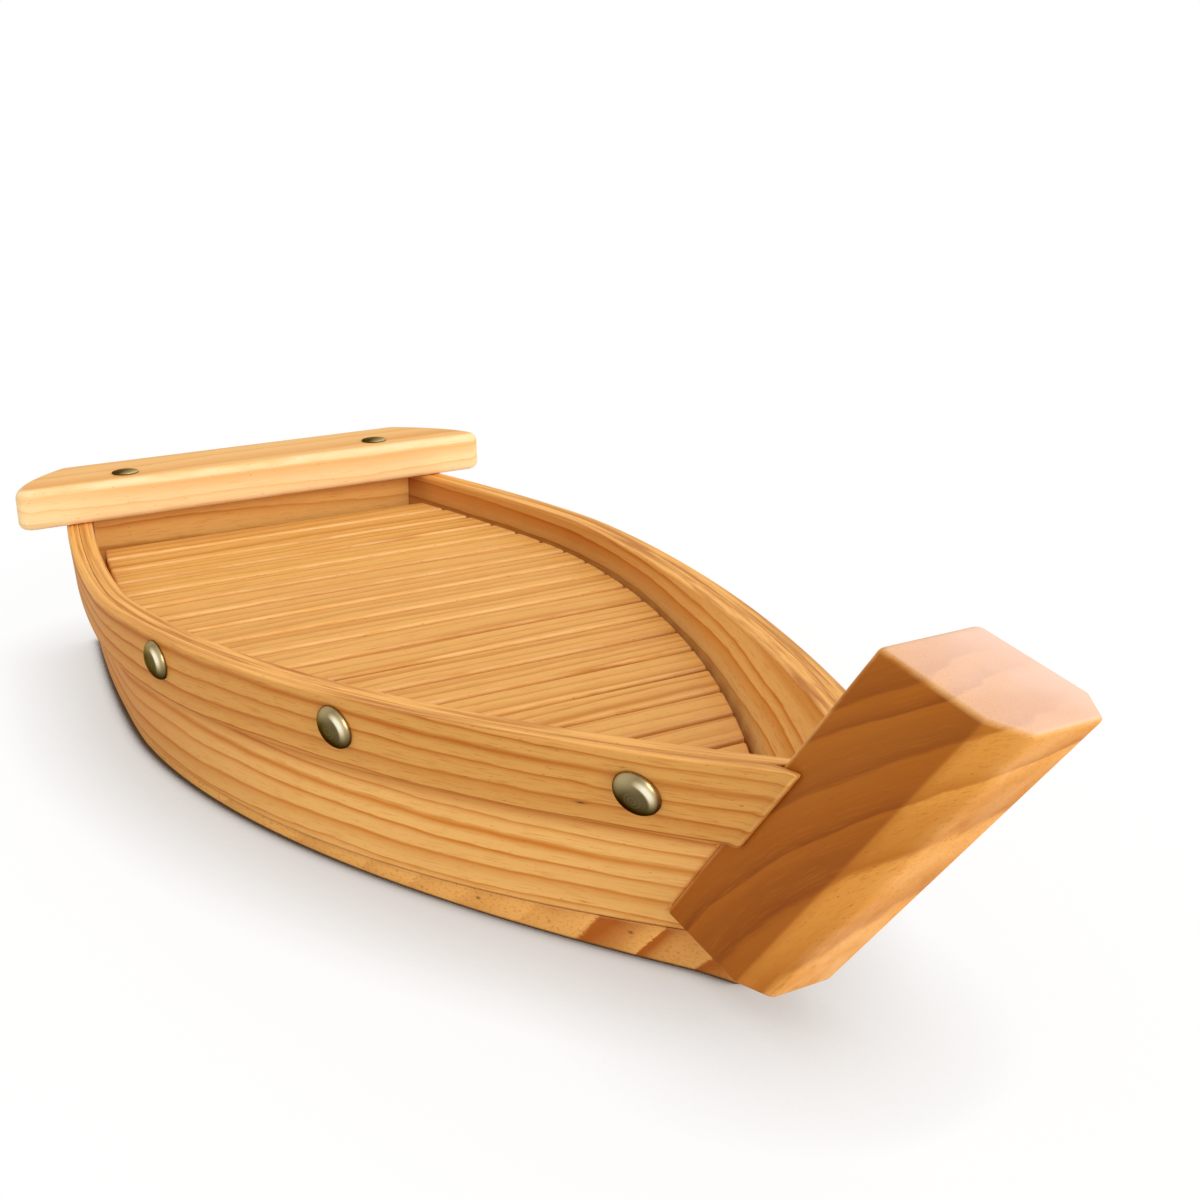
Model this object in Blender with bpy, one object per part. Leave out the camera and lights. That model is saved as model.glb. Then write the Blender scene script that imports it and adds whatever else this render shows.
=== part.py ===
"""Wooden serving boat.

A flat base board carries two bent side planks, each with a sheer band over its
upper part. The planks run from a stern transom to a raked stem post. A crossbar
caps the stern, brass tacks dress the bands, and a slatted deck lifts out.

Metres. +X points to the bow, +Y to port, +Z up, and the table is at Z = 0.
"""

import math

import bmesh
import bpy
from mathutils import Matrix, Vector

for old in list(bpy.data.objects):
    bpy.data.objects.remove(old, do_unlink=True)


# Fits and clearances
GAP = 0.0003                # glue line or seat between two pieces that touch
DECK_PLAY = 0.0018          # room round the lift-out deck
CHEEK_PROUD = 0.0008        # the sides of the stem stand this far outside the planks
STRIP_INSET = 0.0014        # the base strip lies this far inside the planks at the stern
STRIP_BOW_INSET = 0.0002    # and this far at the stem

# Stem post, raked forward, both ends cut parallel
STEM_HALF = 0.0100          # half of its width
STEM_FRONT_HALF = 0.0064    # half width of the front face between the chamfers
STEM_DEPTH = 0.0305         # fore and aft, measured along the end cuts
STEM_CHAMFER = 0.0068       # the part of that depth that the chamfers take
STEM_LENGTH = 0.0940        # along the rake
STEM_RAKE = math.radians(48.7)
STEM_CUT = math.radians(10.0)
STEM_FOOT_X = 0.1272        # lowest front edge
STEM_FOOT_Z = 0.0065
STEM_EDGE = 0.0012

# Base board
BASE_TOP = 0.0110
NOSE_REACH = 0.0127         # how far the nose goes on under the stem
NOSE_HALF = 0.0022
KEEL_HALF = 0.0012          # half of the least width left between the planks
NOSE_LIP = 0.0008

# Hull, measured to the outside of the side planks
STERN_X = -0.1780
WIDEST_X = -0.0760
PLANK = 0.0040
BILGE_HALF = 0.0652         # half breadth at the lower edge, at the widest station
SHEER_HALF = 0.0694         # half breadth at the gunwale, at the widest station
STERN_LOW_HALF = 0.0530
STERN_TOP_HALF = 0.0545
BILGE_FULLNESS = 1.90       # exponents of the plan curves forward of the widest station
SHEER_FULLNESS = 1.72
STERN_FULLNESS = 1.50
FOOT_Z = 0.0033             # lower edge of the planks amidships
FOOT_BOW_DROP = 0.0033      # lower edge of the planks at the stem, below its heel
FOOT_START = 0.58           # fraction of the length where that edge starts to rise
TOE_REACH = 0.0047          # how far the lower corners of the planks go on under the stem
SHEER_Z = 0.0420            # gunwale height at the stern
SHEER_BOW_Z = 0.0549        # gunwale height at the stem
SHEER_START = 0.28

# Sheer bands
BAND = 0.0034
BAND_HEIGHT = 0.0172        # at the stern
BAND_BOW_HEIGHT = 0.0200    # at the stem
BAND_LAP = 0.0065           # how far the band runs over the side of the stem
BAND_TIP = 0.0012           # thickness left at its feathered end

# Transom and crossbar
TRANSOM = 0.0100
TRANSOM_INSET = 0.0010      # from the stern ends of the planks
CROSSBAR_AHEAD = 0.0201     # its front edge, ahead of the stern ends of the planks
CROSSBAR_DEPTH = 0.0308
CROSSBAR_HALF = 0.0762
CROSSBAR_BACK_HALF = 0.0560
CROSSBAR_THICK = 0.0122
CROSSBAR_EDGE = 0.0022

# Tacks
TACK_RADIUS = 0.0049
TACK_RIM = 0.0005
TACK_DOME = 0.0021
TACK_FIRST_X = 0.1086       # foremost tack on the bands
TACK_PITCH = 0.0721
TACKS_PER_SIDE = 3
TACK_DROP = 0.37            # of the height of the band, down from the gunwale at the stern
TACK_BOW_DROP = 0.50        # and at the stem
BAR_TACK_RADIUS = 0.0040
BAR_TACK_DOME = 0.0010
BAR_TACK_Y = 0.0410
BAR_TACK_SET_BACK = 0.0095  # from the front of the crossbar

# Lift-out deck
DECK_TOP = 0.0340
SLAT_COUNT = 18
SLAT_GAP = 0.0020
SLAT_THICK = 0.0050
SLAT_EDGE = 0.0008
DECK_NOSE = 0.0060          # short of the lower back corner of the stem
BATTEN_HALF = 0.0045
BATTEN_INSET = 0.0040       # ends, from the ends of the deck
BATTEN_OUT_Y = 0.0360
BATTEN_EDGE = 0.0006

# Resolution of the curved pieces
STATIONS = 44
LEVELS = 3


def mix(a, b, t):
    return a + (b - a) * t


# Lines of the stem in the middle plane
STEM_BACK_X = STEM_FOOT_X - STEM_DEPTH * math.cos(STEM_CUT)
STEM_BACK_Z = STEM_FOOT_Z + STEM_DEPTH * math.sin(STEM_CUT)


def stem_back(z):
    """X of the back face of the stem at height z."""
    return STEM_BACK_X + (z - STEM_BACK_Z) / math.tan(STEM_RAKE)


def stem_seat(x):
    """Height of the underside of the stem at x, less the glue line."""
    return STEM_FOOT_Z + (STEM_FOOT_X - x) * math.tan(STEM_CUT) - GAP


# Lines of the hull: s runs from the stern to the stem, f from the lower edge to the gunwale
BOW_HALF = STEM_HALF - CHEEK_PROUD
BUTT = GAP / math.sin(STEM_RAKE)
CORNER = 1.0 + math.tan(STEM_CUT) / math.tan(STEM_RAKE)
BOW_LOW_X = STEM_BACK_X - (BUTT + GAP / math.tan(STEM_RAKE)) / CORNER
BOW_TOP_X = stem_back(SHEER_BOW_Z) - BUTT
TOE_X = STEM_BACK_X + TOE_REACH
HEEL_Z = stem_seat(BOW_LOW_X)
FOOT_BOW_Z = HEEL_Z - FOOT_BOW_DROP


def bow_fraction(z):
    """The f of the plank at height z, at its forward end."""
    return (z - FOOT_BOW_Z) / (SHEER_BOW_Z - FOOT_BOW_Z)


TOE_F = bow_fraction(stem_seat(TOE_X))
HEEL_F = bow_fraction(HEEL_Z)


def bow_line(f):
    """X where the plank comes in to the stem: along its back face, and eased below its heel."""
    slope = (BOW_TOP_X - BOW_LOW_X) / (1.0 - HEEL_F)
    if f > 2.0 * HEEL_F:
        return BOW_LOW_X + slope * (f - HEEL_F)
    return BOW_LOW_X + slope * f * f / (4.0 * HEEL_F)


def plank_end(f):
    """X of the forward end of the plank: the back of the stem, then the toe under it."""
    if f >= HEEL_F:
        return mix(BOW_LOW_X, BOW_TOP_X, (f - HEEL_F) / (1.0 - HEEL_F))
    return mix(TOE_X, BOW_LOW_X, max(0.0, (f - TOE_F) / (HEEL_F - TOE_F)))


def rise(s, start):
    return max(0.0, (s - start) / (1.0 - start)) ** 2


def low_z(s):
    return FOOT_Z + (FOOT_BOW_Z - FOOT_Z) * rise(s, FOOT_START)


def sheer_z(s):
    return SHEER_Z + (SHEER_BOW_Z - SHEER_Z) * rise(s, SHEER_START)


def breadth(x, f):
    """Half breadth outside the planks, and the stretch of a sideways offset there."""
    full = mix(BILGE_HALF, SHEER_HALF, f)
    if x >= WIDEST_X:
        run = bow_line(f) - WIDEST_X
        drop = full - BOW_HALF
        power = mix(BILGE_FULLNESS, SHEER_FULLNESS, f)
        t = (x - WIDEST_X) / run
    else:
        run = WIDEST_X - STERN_X
        drop = full - mix(STERN_LOW_HALF, STERN_TOP_HALF, f)
        power = STERN_FULLNESS
        t = (WIDEST_X - x) / run
    slope = drop * power * t ** (power - 1.0) / run
    return full - drop * t ** power, math.hypot(1.0, slope)


def skin(s, f):
    """A point on the outside of a side plank, and the offset stretch there."""
    x = mix(STERN_X, plank_end(f), s)
    y, stretch = breadth(x, f)
    return x, y, mix(low_z(s), sheer_z(s), f), stretch


def height_fraction(x, z):
    """The f of the plank at a place given by x and z."""
    f = 0.5
    for _ in range(60):
        s = (x - STERN_X) / (plank_end(f) - STERN_X)
        f = 0.5 * f + 0.5 * (z - low_z(s)) / (sheer_z(s) - low_z(s))
    return f


def lining(y, stretch):
    """Half breadth inside the planks, where it is y outside."""
    return max(y - PLANK * stretch, KEEL_HALF + GAP * stretch)


def inside(x, z):
    """Half breadth inside the planks at x and z."""
    return lining(*breadth(x, height_fraction(x, z)))


def material(name, colour, roughness, metallic=0.0):
    mat = bpy.data.materials.new(name)
    mat.use_nodes = True
    shader = mat.node_tree.nodes["Principled BSDF"]
    shader.inputs["Base Color"].default_value = (*colour, 1.0)
    shader.inputs["Roughness"].default_value = roughness
    shader.inputs["Metallic"].default_value = metallic
    mat.diffuse_color = (*colour, 1.0)
    return mat


def place(name, mesh, mat, parent=None, at=(0.0, 0.0, 0.0)):
    """Links a mesh as a named object at a world place."""
    obj = bpy.data.objects.new(name, mesh)
    bpy.context.scene.collection.objects.link(obj)
    if not mesh.materials:
        mesh.materials.append(mat)
    obj.location = at
    if parent is not None:
        obj.parent = parent
        obj.location = Vector(at) - parent.location
    return obj


def loft(name, rings, smooth_angle=0.0, stepped_ends=False):
    """Closed solid through rings of equally many points, with filled ends."""
    bm = bmesh.new()
    loops = [[bm.verts.new(p) for p in ring] for ring in rings]
    count = len(loops[0])
    for near, far in zip(loops, loops[1:]):
        for k in range(count):
            n = (k + 1) % count
            bm.faces.new((near[k], near[n], far[n], far[k]))
    for end in (loops[0], loops[-1]):
        if stepped_ends:
            for k in range(count // 2 - 1):
                bm.faces.new((end[k], end[k + 1], end[-2 - k], end[-1 - k]))
        else:
            bm.faces.new(end)
    return finish(name, bm, smooth_angle)


def finish(name, bm, smooth_angle=0.0):
    """Turns the faces outward and makes the mesh."""
    bmesh.ops.recalc_face_normals(bm, faces=bm.faces)
    mesh = bpy.data.meshes.new(name)
    bm.to_mesh(mesh)
    bm.free()
    if smooth_angle:
        mesh.shade_smooth()
        mesh.set_sharp_from_angle(angle=smooth_angle)
    return mesh


def soften(obj, width, segments=1):
    """Rounds the edges of an object."""
    mod = obj.modifiers.new("softened edges", "BEVEL")
    mod.width = width
    mod.segments = segments
    mod.limit_method = "ANGLE"
    mod.angle_limit = math.radians(25.0)


def spread(start, end, count):
    return [mix(start, end, k / (count - 1)) for k in range(count)]


pine_base = material("pine_base", (0.74, 0.42, 0.17), 0.42)
pine_plank = material("pine_plank", (0.76, 0.45, 0.19), 0.40)
pine_band = material("pine_band", (0.78, 0.48, 0.22), 0.40)
pine_stem = material("pine_stem", (0.68, 0.38, 0.15), 0.42)
pine_transom = material("pine_transom", (0.82, 0.54, 0.27), 0.45)
pine_crossbar = material("pine_crossbar", (0.84, 0.57, 0.30), 0.42)
pine_slat = material("pine_slat", (0.80, 0.52, 0.26), 0.48)
pine_batten = material("pine_batten", (0.76, 0.50, 0.26), 0.55)
antique_brass = material("antique_brass", (0.42, 0.35, 0.18), 0.34, 1.0)

SMOOTH = math.radians(30.0)
SIDES = (("starboard", -1.0), ("port", 1.0))


# Base board: a rabbet round its top takes the planks, and its nose goes under the stem
def base_ring(strip_y, seat, waist, crown):
    half = [(seat[0], strip_y, 0.0), (seat[0], strip_y, seat[2]), seat, waist, crown]
    return [(x, -y, z) for x, y, z in half] + [(x, y, z) for x, y, z in reversed(half)]


def lining_point(s, f, top):
    """A glue line inside the plank, kept under a height and under the stem."""
    x, y, z, stretch = skin(s, f)
    return x, lining(y, stretch) - GAP * stretch, min(z, top, stem_seat(x))


rings = []
for s in spread(0.0, 1.0, STATIONS):
    crown_z = mix(BASE_TOP, stem_seat(TOE_X), rise(s, FOOT_START))
    crown_f = (crown_z - low_z(s)) / (sheer_z(s) - low_z(s))
    seat = lining_point(s, 0.0, low_z(s) - GAP)
    waist = lining_point(s, 0.5 * crown_f, crown_z)
    crown = lining_point(s, crown_f, crown_z)
    strip_y = skin(s, 0.0)[1] - mix(STRIP_INSET, STRIP_BOW_INSET, s)
    rings.append(base_ring(strip_y, seat, waist, crown))

# The nose narrows from the last of those rings
nose_x = STEM_BACK_X + NOSE_REACH
nose_z = stem_seat(nose_x)
lip_z = min(seat[2], nose_z - NOSE_LIP)
for t in spread(0.0, 1.0, 5)[1:]:
    low = Vector(seat).lerp((nose_x, KEEL_HALF, lip_z), t)
    middle = Vector(waist).lerp((nose_x, KEEL_HALF, mix(lip_z, nose_z, 0.5)), t)
    high = Vector(crown).lerp((nose_x, KEEL_HALF, nose_z), t)
    rings.append(base_ring(mix(strip_y, NOSE_HALF, t), tuple(low), tuple(middle), tuple(high)))
place("base_board", loft("base_board", rings, SMOOTH), pine_base)


PLANK_LEVELS = [0.0, TOE_F, HEEL_F] + spread(2.0 * HEEL_F, 1.0, LEVELS + 1)

# Side planks: bent round the base board, butted against the stem, with a toe under its foot
for side, sign in SIDES:
    rings = []
    for s in spread(0.0, 1.0, STATIONS):
        outer = []
        inner = []
        for f in PLANK_LEVELS:
            x, y, z, stretch = skin(s, f)
            outer.append((x, sign * y, z))
            inner.append((x, sign * lining(y, stretch), z))
        rings.append(outer + inner[::-1])
    name = "side_plank_" + side
    place(name, loft(name, rings, SMOOTH, stepped_ends=True), pine_plank)


# Sheer bands: over the upper part of the planks, feathered where they lap the stem
CHEEK = STEM_HALF + GAP


def band_point(s, drop):
    """Inner and outer points of the band, at a fraction of its height below the gunwale."""
    height = sheer_z(s) - low_z(s)
    band_height = mix(BAND_HEIGHT, BAND_BOW_HEIGHT, rise(s, SHEER_START))
    x, y, z, stretch = skin(s, 1.0 - drop * band_height / height)
    inner = max(y + GAP * stretch, CHEEK)
    outer = max(y + (GAP + BAND) * stretch, inner + BAND_TIP)
    return Vector((x, inner, z)), Vector((x, outer, z))


BAND_END = 1.0 + BAND_LAP / (BOW_TOP_X - STERN_X)
for side, sign in SIDES:
    rings = []
    for s in spread(0.0, 1.0, STATIONS) + spread(1.0, BAND_END, 4)[1:]:
        outer = []
        inner = []
        for drop in (1.0, 0.5, 0.0):
            in_point, out_point = band_point(s, drop)
            outer.append((out_point.x, sign * out_point.y, out_point.z))
            inner.append((in_point.x, sign * in_point.y, in_point.z))
        rings.append(outer + inner[::-1])
    name = "sheer_band_" + side
    place(name, loft(name, rings, SMOOTH), pine_band)


# Stem post: one section carried along the rake between two parallel cuts
section = [
    (-STEM_DEPTH, STEM_HALF),
    (-STEM_CHAMFER, STEM_HALF),
    (0.0, STEM_FRONT_HALF),
    (0.0, -STEM_FRONT_HALF),
    (-STEM_CHAMFER, -STEM_HALF),
    (-STEM_DEPTH, -STEM_HALF),
]
rings = []
for along in (0.0, STEM_LENGTH):
    foot_x = STEM_FOOT_X + along * math.cos(STEM_RAKE)
    foot_z = STEM_FOOT_Z + along * math.sin(STEM_RAKE)
    rings.append([
        (foot_x + d * math.cos(STEM_CUT), y, foot_z - d * math.sin(STEM_CUT))
        for d, y in section
    ])
stem = place("stem_post", loft("stem_post", rings), pine_stem)
soften(stem, STEM_EDGE, 2)


# Transom board: fitted between the planks on top of the base board
transom_back = STERN_X + TRANSOM_INSET
rings = []
for z in spread(BASE_TOP + GAP, SHEER_Z, LEVELS + 1):
    back_y = inside(transom_back, z) - GAP
    front_y = inside(transom_back + TRANSOM, z) - GAP
    rings.append([
        (transom_back, -back_y, z),
        (transom_back + TRANSOM, -front_y, z),
        (transom_back + TRANSOM, front_y, z),
        (transom_back, back_y, z),
    ])
place("transom_board", loft("transom_board", rings), pine_transom)


# Stern crossbar: straight front, ends swept back to a shorter back edge
CROSSBAR_FRONT_X = STERN_X + CROSSBAR_AHEAD


def crossbar_outline():
    front = Vector((CROSSBAR_FRONT_X, CROSSBAR_HALF))
    back = Vector((CROSSBAR_FRONT_X - CROSSBAR_DEPTH, CROSSBAR_BACK_HALF))
    turn = Vector((mix(front.x, back.x, 0.53), mix(back.y, front.y, 0.87)))
    end = []
    for t in spread(0.0, 1.0, 9):
        end.append((1 - t) ** 2 * front + 2 * t * (1 - t) * turn + t ** 2 * back)
    return [(p.x, p.y) for p in end] + [(p.x, -p.y) for p in reversed(end)]


CROSSBAR_LOW = SHEER_Z + GAP
CROSSBAR_TOP = CROSSBAR_LOW + CROSSBAR_THICK
outline = crossbar_outline()
rings = [[(x, y, z) for x, y in outline] for z in (CROSSBAR_LOW, CROSSBAR_TOP)]
crossbar = place("stern_crossbar", loft("stern_crossbar", rings), pine_crossbar)
soften(crossbar, CROSSBAR_EDGE, 2)


# Tacks: domed heads, turned about their own axis
def tack_mesh(name, radius, dome, steps=20):
    profile = [(radius - 0.3 * TACK_RIM, 0.0), (radius, 0.5 * TACK_RIM)]
    for a in spread(0.0, 1.0, 6)[:-1]:
        angle = a * math.pi / 2
        profile.append((radius * math.cos(angle), TACK_RIM + dome * math.sin(angle)))
    bm = bmesh.new()
    loops = []
    for r, z in profile:
        turn = [2.0 * math.pi * k / steps for k in range(steps)]
        loops.append([bm.verts.new((r * math.cos(a), r * math.sin(a), z)) for a in turn])
    tip = bm.verts.new((0.0, 0.0, TACK_RIM + dome))
    for low, high in zip(loops, loops[1:]):
        for k in range(steps):
            n = (k + 1) % steps
            bm.faces.new((low[k], low[n], high[n], high[k]))
    for k in range(steps):
        bm.faces.new((loops[-1][k], loops[-1][(k + 1) % steps], tip))
    bm.faces.new(loops[0])
    return finish(name, bm, math.radians(50.0))


def tack_drop(s):
    return mix(TACK_DROP, TACK_BOW_DROP, rise(s, SHEER_START))


def band_station(x):
    """The s where the line of the tacks passes x."""
    s = (x - STERN_X) / (BOW_TOP_X - STERN_X)
    for _ in range(40):
        s += (x - band_point(s, tack_drop(s))[1].x) / (BOW_TOP_X - STERN_X)
    return s


side_head = tack_mesh("side_tack", TACK_RADIUS, TACK_DOME)
for side, sign in SIDES:
    for number in range(TACKS_PER_SIDE):
        s = band_station(TACK_FIRST_X - number * TACK_PITCH)
        drop = tack_drop(s)
        point = band_point(s, drop)[1]
        along = band_point(s + 0.01, drop)[1] - band_point(s - 0.01, drop)[1]
        up = band_point(s, drop - 0.1)[1] - band_point(s, drop + 0.1)[1]
        out = along.cross(up).normalized()
        out *= 1.0 if out.y > 0 else -1.0
        point += out * GAP
        out.y *= sign
        point.y *= sign
        turn = out.to_track_quat("Z", "Y").to_matrix().to_4x4()
        tack = place("tack_%s_%d" % (side, number + 1), side_head, antique_brass)
        tack.matrix_world = Matrix.Translation(point) @ turn

bar_head = tack_mesh("crossbar_tack", BAR_TACK_RADIUS, BAR_TACK_DOME)
for side, sign in SIDES:
    at = (CROSSBAR_FRONT_X - BAR_TACK_SET_BACK, sign * BAR_TACK_Y, CROSSBAR_TOP + GAP)
    place("crossbar_tack_" + side, bar_head, antique_brass, at=at)


# Lift-out deck: slats across three bearers that stand on the base board
rack = bpy.data.objects.new("deck_rack", None)
bpy.context.scene.collection.objects.link(rack)
rack.location = (0.0, 0.0, BASE_TOP + GAP)

deck_aft = CROSSBAR_FRONT_X + DECK_PLAY
deck_fore = BOW_LOW_X - DECK_NOSE
slat_low = DECK_TOP - SLAT_THICK
slat_width = (deck_fore - deck_aft - (SLAT_COUNT - 1) * SLAT_GAP) / SLAT_COUNT


def bar(name, x0, x1, half0, half1, z0, z1, mat, edge, y=0.0):
    """Bar across the boat between x0 and x1, with its own half length at each."""
    cx = 0.5 * (x0 + x1)
    cz = 0.5 * (z0 + z1)
    dz = 0.5 * (z1 - z0)
    rings = []
    for x, half in ((x0, half0), (x1, half1)):
        rings.append([
            (x - cx, -half, -dz),
            (x - cx, half, -dz),
            (x - cx, half, dz),
            (x - cx, -half, dz),
        ])
    obj = place(name, loft(name, rings), mat, rack, (cx, y, cz))
    soften(obj, edge)


for number in range(SLAT_COUNT):
    x0 = deck_aft + number * (slat_width + SLAT_GAP)
    x1 = x0 + slat_width
    half0 = min(inside(x0, slat_low), inside(x0, DECK_TOP)) - DECK_PLAY
    half1 = min(inside(x1, slat_low), inside(x1, DECK_TOP)) - DECK_PLAY
    name = "deck_slat_%02d" % (number + 1)
    bar(name, x0, x1, half0, half1, slat_low, DECK_TOP, pine_slat, SLAT_EDGE)

batten_low = BASE_TOP + GAP
batten_top = slat_low - GAP
batten_aft = deck_aft + BATTEN_INSET
batten_fore = deck_fore - BATTEN_INSET
bar("deck_batten_centre", batten_aft, batten_fore, BATTEN_HALF, BATTEN_HALF,
    batten_low, batten_top, pine_batten, BATTEN_EDGE)

# The outer bearers stop where the planks come in
outer_fore = batten_fore
clear_x = batten_aft
for _ in range(40):
    middle = 0.5 * (clear_x + outer_fore)
    if inside(middle, batten_low) - DECK_PLAY < BATTEN_OUT_Y + BATTEN_HALF:
        outer_fore = middle
    else:
        clear_x = middle
outer_fore = clear_x
for side, sign in SIDES:
    bar("deck_batten_" + side, batten_aft, outer_fore, BATTEN_HALF, BATTEN_HALF,
        batten_low, batten_top, pine_batten, BATTEN_EDGE, sign * BATTEN_OUT_Y)
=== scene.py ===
"""Wooden serving boat, dressed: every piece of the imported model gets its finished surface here.

Metres. +X points to the bow, +Y to port, +Z up, and the table is at Z = 0.
"""

import math

import bpy
import numpy as np
from mathutils import Matrix, Vector


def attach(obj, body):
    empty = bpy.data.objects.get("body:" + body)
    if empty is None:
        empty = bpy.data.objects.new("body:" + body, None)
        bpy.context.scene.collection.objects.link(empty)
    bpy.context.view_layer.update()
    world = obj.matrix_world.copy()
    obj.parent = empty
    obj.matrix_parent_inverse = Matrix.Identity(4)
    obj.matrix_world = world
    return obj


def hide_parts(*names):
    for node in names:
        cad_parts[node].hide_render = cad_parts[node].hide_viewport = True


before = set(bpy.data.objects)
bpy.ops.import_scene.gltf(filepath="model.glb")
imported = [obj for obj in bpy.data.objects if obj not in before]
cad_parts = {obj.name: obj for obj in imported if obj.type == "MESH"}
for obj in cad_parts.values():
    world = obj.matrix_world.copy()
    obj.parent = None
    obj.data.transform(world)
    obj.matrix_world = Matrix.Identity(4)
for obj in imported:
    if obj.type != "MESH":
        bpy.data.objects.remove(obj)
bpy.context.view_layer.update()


# Base board
# One flat pine board, sawn to the plan of the boat and rabbeted round its top edge. The side
# planks are bent round that rabbet and pinned, and the pointed nose goes on under the stem.
GLUE = 0.0001
STEM_HALF = 0.0100
CHEEK_PROUD = 0.0008
STEM_DEPTH = 0.0305
STEM_RAKE = math.radians(48.7)
STEM_CUT = math.radians(10.0)
STEM_FOOT_X, STEM_FOOT_Z = 0.1272, 0.0065
STERN_X = -0.1780
WIDEST_X = -0.0760
PLANK = 0.0040
BILGE_HALF, SHEER_HALF = 0.0652, 0.0694
STERN_LOW_HALF, STERN_TOP_HALF = 0.0530, 0.0545
BILGE_FULLNESS, SHEER_FULLNESS, STERN_FULLNESS = 1.90, 1.72, 1.50
FOOT_Z, FOOT_BOW_DROP, FOOT_START = 0.0033, 0.0033, 0.58
SHEER_Z, SHEER_BOW_Z, SHEER_START = 0.0420, 0.0549, 0.28
TOE_REACH = 0.0047
BASE_TOP = 0.0110
STRIP_INSET, STRIP_BOW_INSET = 0.0014, 0.0002
NOSE_REACH, NOSE_HALF, KEEL_HALF = 0.0127, 0.0022, 0.0012
NOSE_LIP = 0.0008
BASE_EDGE, RABBET_EDGE = 0.0006, 0.0004
BASE_GRAIN = (0.0, -0.0011, 0.0)
PIN_HOLE = (0.0007, 0.0007, 0.0004)
# The next two lines set painted shade: along the foot of the base, and under the planks.
BOTTOM_SHADE = 0.0005
UNDER_PLANK_REACH, UNDER_PLANK_SHADE, UNDER_PLANK_BOW_SHADE = 0.0010, 0.55, 0.20
ACROSS = (0.03, 0.25, 0.45, 0.55, 0.75, 0.97)
BASE_STATIONS, NOSE_STATIONS = 150, 14

BOW_HALF = STEM_HALF - CHEEK_PROUD
HEEL_X = STEM_FOOT_X - STEM_DEPTH * math.cos(STEM_CUT)
HEEL_Z = STEM_FOOT_Z + STEM_DEPTH * math.sin(STEM_CUT)
BUTT = GLUE / math.sin(STEM_RAKE)


def mix(a, b, t):
    """Straight line from a at t = 0 to b at t = 1."""
    return a + (b - a) * t


def stem_seat(x):
    """Height of the sloping underside of the stem over x, less the glue line."""
    return STEM_FOOT_Z + (STEM_FOOT_X - x) * math.tan(STEM_CUT) - GLUE


CORNER = 1.0 + math.tan(STEM_CUT) / math.tan(STEM_RAKE)
BOW_LOW_X = HEEL_X - (BUTT + GLUE / math.tan(STEM_RAKE)) / CORNER
BOW_TOP_X = HEEL_X + (SHEER_BOW_Z - HEEL_Z) / math.tan(STEM_RAKE) - BUTT
FOOT_BOW_Z = stem_seat(BOW_LOW_X) - FOOT_BOW_DROP
TOE_X = HEEL_X + TOE_REACH
TOE_F = (stem_seat(TOE_X) - FOOT_BOW_Z) / (SHEER_BOW_Z - FOOT_BOW_Z)
HEEL_F = FOOT_BOW_DROP / (SHEER_BOW_Z - FOOT_BOW_Z)
BOW_SLOPE = (BOW_TOP_X - BOW_LOW_X) / (1.0 - HEEL_F)


def rise(s, start):
    """Square of the share of the length that lies past start, and nothing before it."""
    return np.maximum(0.0, (s - start) / (1.0 - start)) ** 2


def foot_z(s):
    """Height of the lower edge of the planks: level, then rising to the bow."""
    return mix(FOOT_Z, FOOT_BOW_Z, rise(s, FOOT_START))


def sheer_z(s):
    """Height of the gunwale: level, then rising to the bow."""
    return mix(SHEER_Z, SHEER_BOW_Z, rise(s, SHEER_START))


def bow_line(f):
    """X where the planks come in to the stem: its back face, eased by a parabola at the heel."""
    straight = BOW_LOW_X + BOW_SLOPE * (f - HEEL_F)
    eased = BOW_LOW_X + BOW_SLOPE * f * f / (4.0 * HEEL_F)
    return np.where(f > 2.0 * HEEL_F, straight, eased)


def plank_end(f):
    """X of the forward ends of the planks: the back of the stem, then the toe under its foot."""
    toe = mix(TOE_X, BOW_LOW_X, np.maximum(0.0, (f - TOE_F) / (HEEL_F - TOE_F)))
    return np.where(f >= HEEL_F, BOW_LOW_X + BOW_SLOPE * (f - HEEL_F), toe)


def breadth(x, f):
    """Half breadth outside the planks: the widest less a power of the way to either end.

    The second value is the stretch of a sideways offset, one over the cosine of the plan angle.
    """
    full = mix(BILGE_HALF, SHEER_HALF, f)
    ahead = x >= WIDEST_X
    run = np.where(ahead, bow_line(f) - WIDEST_X, WIDEST_X - STERN_X)
    drop = full - np.where(ahead, BOW_HALF, mix(STERN_LOW_HALF, STERN_TOP_HALF, f))
    power = np.where(ahead, mix(BILGE_FULLNESS, SHEER_FULLNESS, f), STERN_FULLNESS)
    t = np.abs(x - WIDEST_X) / run
    slope = drop * power * t ** (power - 1.0) / run
    return full - drop * t ** power, np.hypot(1.0, slope)


def skin(s, f):
    """A point on the outside of a plank, s along from stern to stem and f up, and its stretch."""
    x = mix(STERN_X, plank_end(f), s)
    y, stretch = breadth(x, f)
    return x, y, mix(foot_z(s), sheer_z(s), f), stretch


def lining(y, stretch):
    """Half breadth inside the planks where it is y outside."""
    return np.maximum(y - PLANK * stretch, KEEL_HALF + GLUE * stretch)


def inside(x, z):
    """Half breadth inside the planks at x and z.

    The height share is averaged with the next guess at it until it settles.
    """
    f = np.full(np.broadcast(x, z).shape, 0.5)
    for _ in range(50):
        s = (x - STERN_X) / (plank_end(f) - STERN_X)
        f = 0.5 * f + 0.5 * (z - foot_z(s)) / (sheer_z(s) - foot_z(s))
    return lining(*breadth(x, f))


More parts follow.
